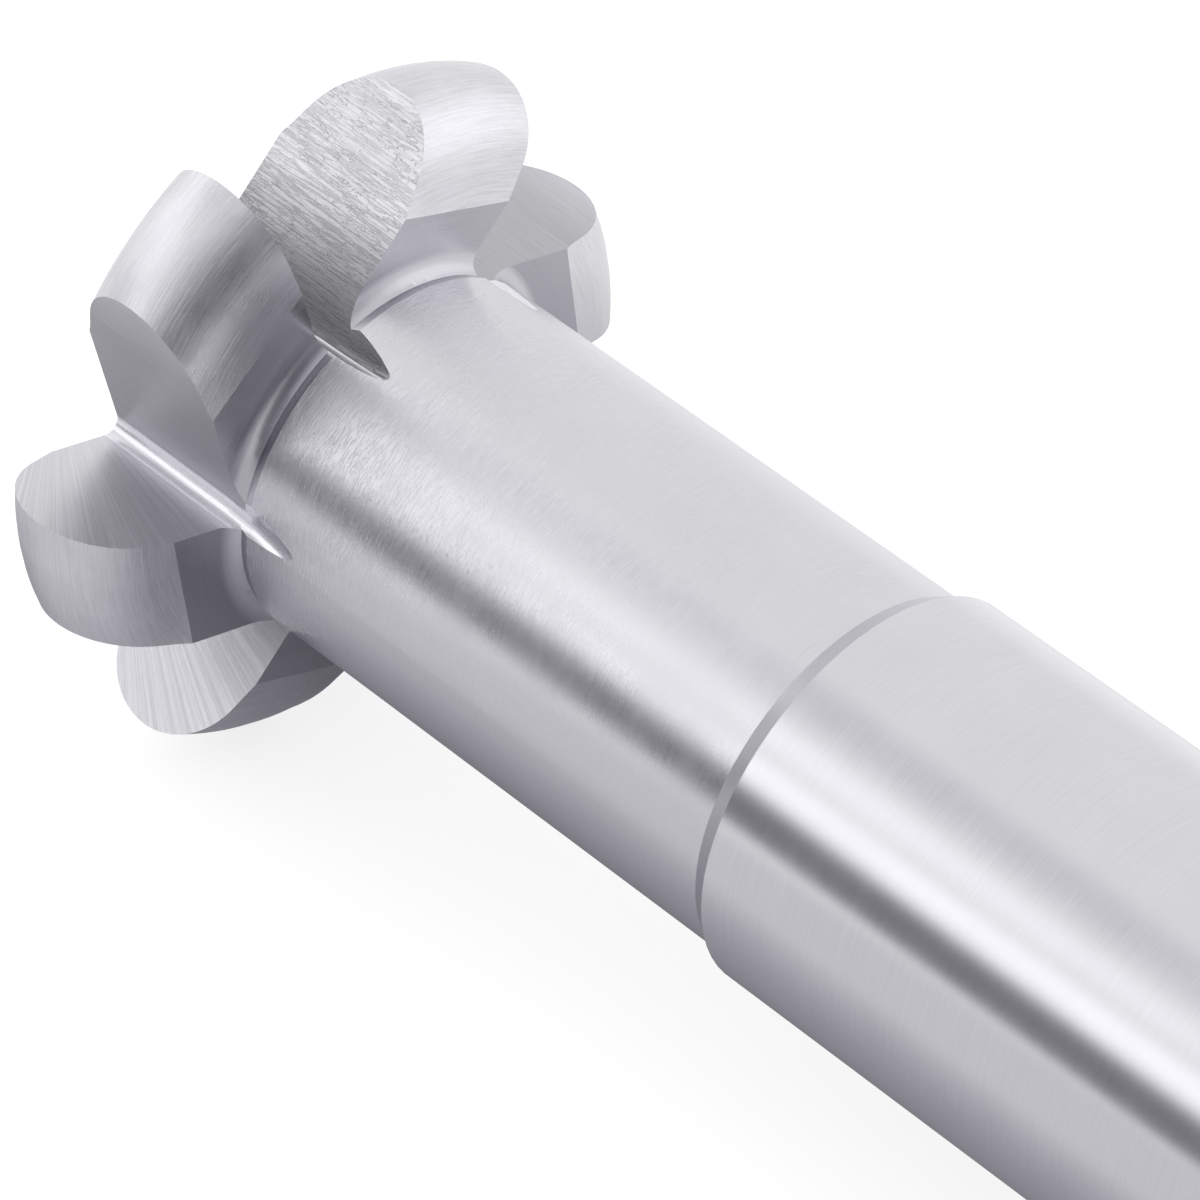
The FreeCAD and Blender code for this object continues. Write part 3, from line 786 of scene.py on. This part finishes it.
class CUTTER_OT_stage(bpy.types.Operator):
    """Set up the pale floor, the white tent round it and the camera"""

    bl_idname = "cutter.stage"
    bl_label = "Set up the studio"

    def execute(self, context):
        scene = context.scene
        self.add_floor(scene, scene.cutter_studio)
        self.set_surroundings(scene, scene.cutter_studio)
        self.add_camera(scene, scene.cutter_studio)
        scene.view_settings.view_transform = "Standard"
        return {"FINISHED"}

    def add_floor(self, scene, studio):
        """A pale floor that gets darker under the tool where the steel mirrors it: a painted shadow."""
        half = studio.floor_size / 2
        mesh = bpy.data.meshes.new("floor")
        mesh.from_pydata([(-half, -half, 0), (half, -half, 0), (half, half, 0), (-half, half, 0)],
                         [], [(0, 1, 2, 3)])
        floor = bpy.data.objects.new("floor", mesh)
        scene.collection.objects.link(floor)
        material = bpy.data.materials.new("pale_floor")
        graph = empty_graph(material)
        level = self.mirrored_level(graph, studio)
        # Only the steel's reflections see this glowing floor and its painted shadow.
        mirrored = graph.add("ShaderNodeEmission", {
            "Strength": level, "Color": graph.cool_when_dim(level)})
        pale = graph.add("ShaderNodeBsdfDiffuse", {"Color": rgba(studio.floor_colour)})
        glow = graph.add("ShaderNodeEmission", {"Strength": studio.floor_glow})
        white = graph.add("ShaderNodeBsdfDiffuse", {"Color": WHITE})
        ray = graph.add("ShaderNodeLightPath").outputs
        lit = graph.mix_shaders(ray["Is Glossy Ray"], pale, mirrored)
        seen = graph.mix_shaders(studio.shadow_share, glow, white)
        shown = graph.mix_shaders(ray["Is Camera Ray"], lit, seen)
        graph.add("ShaderNodeOutputMaterial", {"Surface": shown.outputs[0]})
        mesh.materials.append(material)

    def mirrored_level(self, graph, studio):
        """Brightness of the floor as the steel mirrors it: a painted shadow, dark under the tool."""
        x, y, _ = graph.add("ShaderNodeSeparateXYZ", {
            0: graph.add("ShaderNodeTexCoord").outputs["Object"]}).outputs
        end = cad_box[1][0]
        reach = studio.painted_shadow_reach

        def ramp(distance, start, shares, level):
            return graph.remap(distance, start + reach * shares[0], start + reach * shares[1],
                               studio.painted_shadow_under, level)

        front = ramp(graph.math("MULTIPLY", y, -1.0), 0.0, FRONT_RAMP, studio.mirrored_floor)
        behind = ramp(y, 0.0, BACK_RAMP, studio.mirrored_back)
        beyond = ramp(graph.math("ABSOLUTE", x), end, END_RAMP, studio.mirrored_back)
        return graph.math("MAXIMUM", beyond, graph.math("MAXIMUM", front, behind))

    def set_surroundings(self, scene, studio):
        """A white tent with brighter and darker patches, and a dark gap at the front."""
        scene.world = bpy.data.worlds.new("white_tent")
        graph = empty_graph(scene.world)
        way = graph.add("ShaderNodeTexCoord").outputs["Generated"]
        level = studio.sky_level
        for patch in PATCHES:
            centre = graph.vector(*Vector(patch.towards).normalized())
            share = graph.remap(graph.vector_math("DOT_PRODUCT", way, centre),
                                math.cos(math.radians(patch.whole)),
                                math.cos(math.radians(patch.even)))
            level = graph.mix(share, level, getattr(studio, patch.level), "FLOAT")
        _, y, z = graph.add("ShaderNodeSeparateXYZ", {0: way}).outputs
        front = graph.remap(graph.math("MULTIPLY", y, -1.0), *GAP_SIDES)
        low = graph.remap(z, *GAP_TOP, to_low=1.0, to_high=0.0)
        level = graph.mix(graph.math("MULTIPLY", front, low), level, studio.gap_level, "FLOAT")
        seen = graph.add("ShaderNodeLightPath").outputs["Is Camera Ray"]
        strength = graph.math("MAXIMUM", level, seen)
        background = graph.add("ShaderNodeBackground", {
            "Strength": strength, "Color": graph.cool_when_dim(strength)})
        graph.add("ShaderNodeOutputWorld", {"Surface": background.outputs[0]})

    def add_camera(self, scene, studio):
        """The camera, looking down on the tool from beside the end of its shank."""
        data = bpy.data.cameras.new("camera")
        data.lens = studio.camera_lens
        data.sensor_width = SENSOR_WIDTH
        data.clip_start = CLIP_START
        data.clip_end = CLIP_END
        camera = bpy.data.objects.new("camera", data)
        camera.location = studio.camera_place
        camera.rotation_euler = Euler(studio.camera_turn)
        scene.collection.objects.link(camera)
        scene.camera = camera


OPERATORS = (CUTTER_OT_finish, CUTTER_OT_stage)


class CUTTER_PT_panel(bpy.types.Panel):
    """Sizes, finishes and studio of the cutter"""

    bl_idname = "CUTTER_PT_panel"
    bl_label = "Convex radius cutter"
    bl_space_type = "VIEW_3D"
    bl_region_type = "UI"
    bl_category = "Cutter"

    def draw(self, context):
        for name, group in GROUPS.items():
            box = self.layout.box()
            values = getattr(context.scene, name)
            for field in group.__annotations__:
                box.prop(values, field)
        for operator in OPERATORS:
            self.layout.operator(operator.bl_idname)


CLASSES = (*GROUPS.values(), *OPERATORS, CUTTER_PT_panel)


def register():
    for each in CLASSES:
        bpy.utils.register_class(each)
    for name, group in GROUPS.items():
        setattr(bpy.types.Scene, name, bpy.props.PointerProperty(type=group))


def unregister():
    for name in GROUPS:
        delattr(bpy.types.Scene, name)
    for each in reversed(CLASSES):
        bpy.utils.unregister_class(each)


def main():
    register()
    bpy.ops.cutter.finish()
    bpy.ops.cutter.stage()
    bpy.context.view_layer.update()


if __name__ == "__main__":
    main()
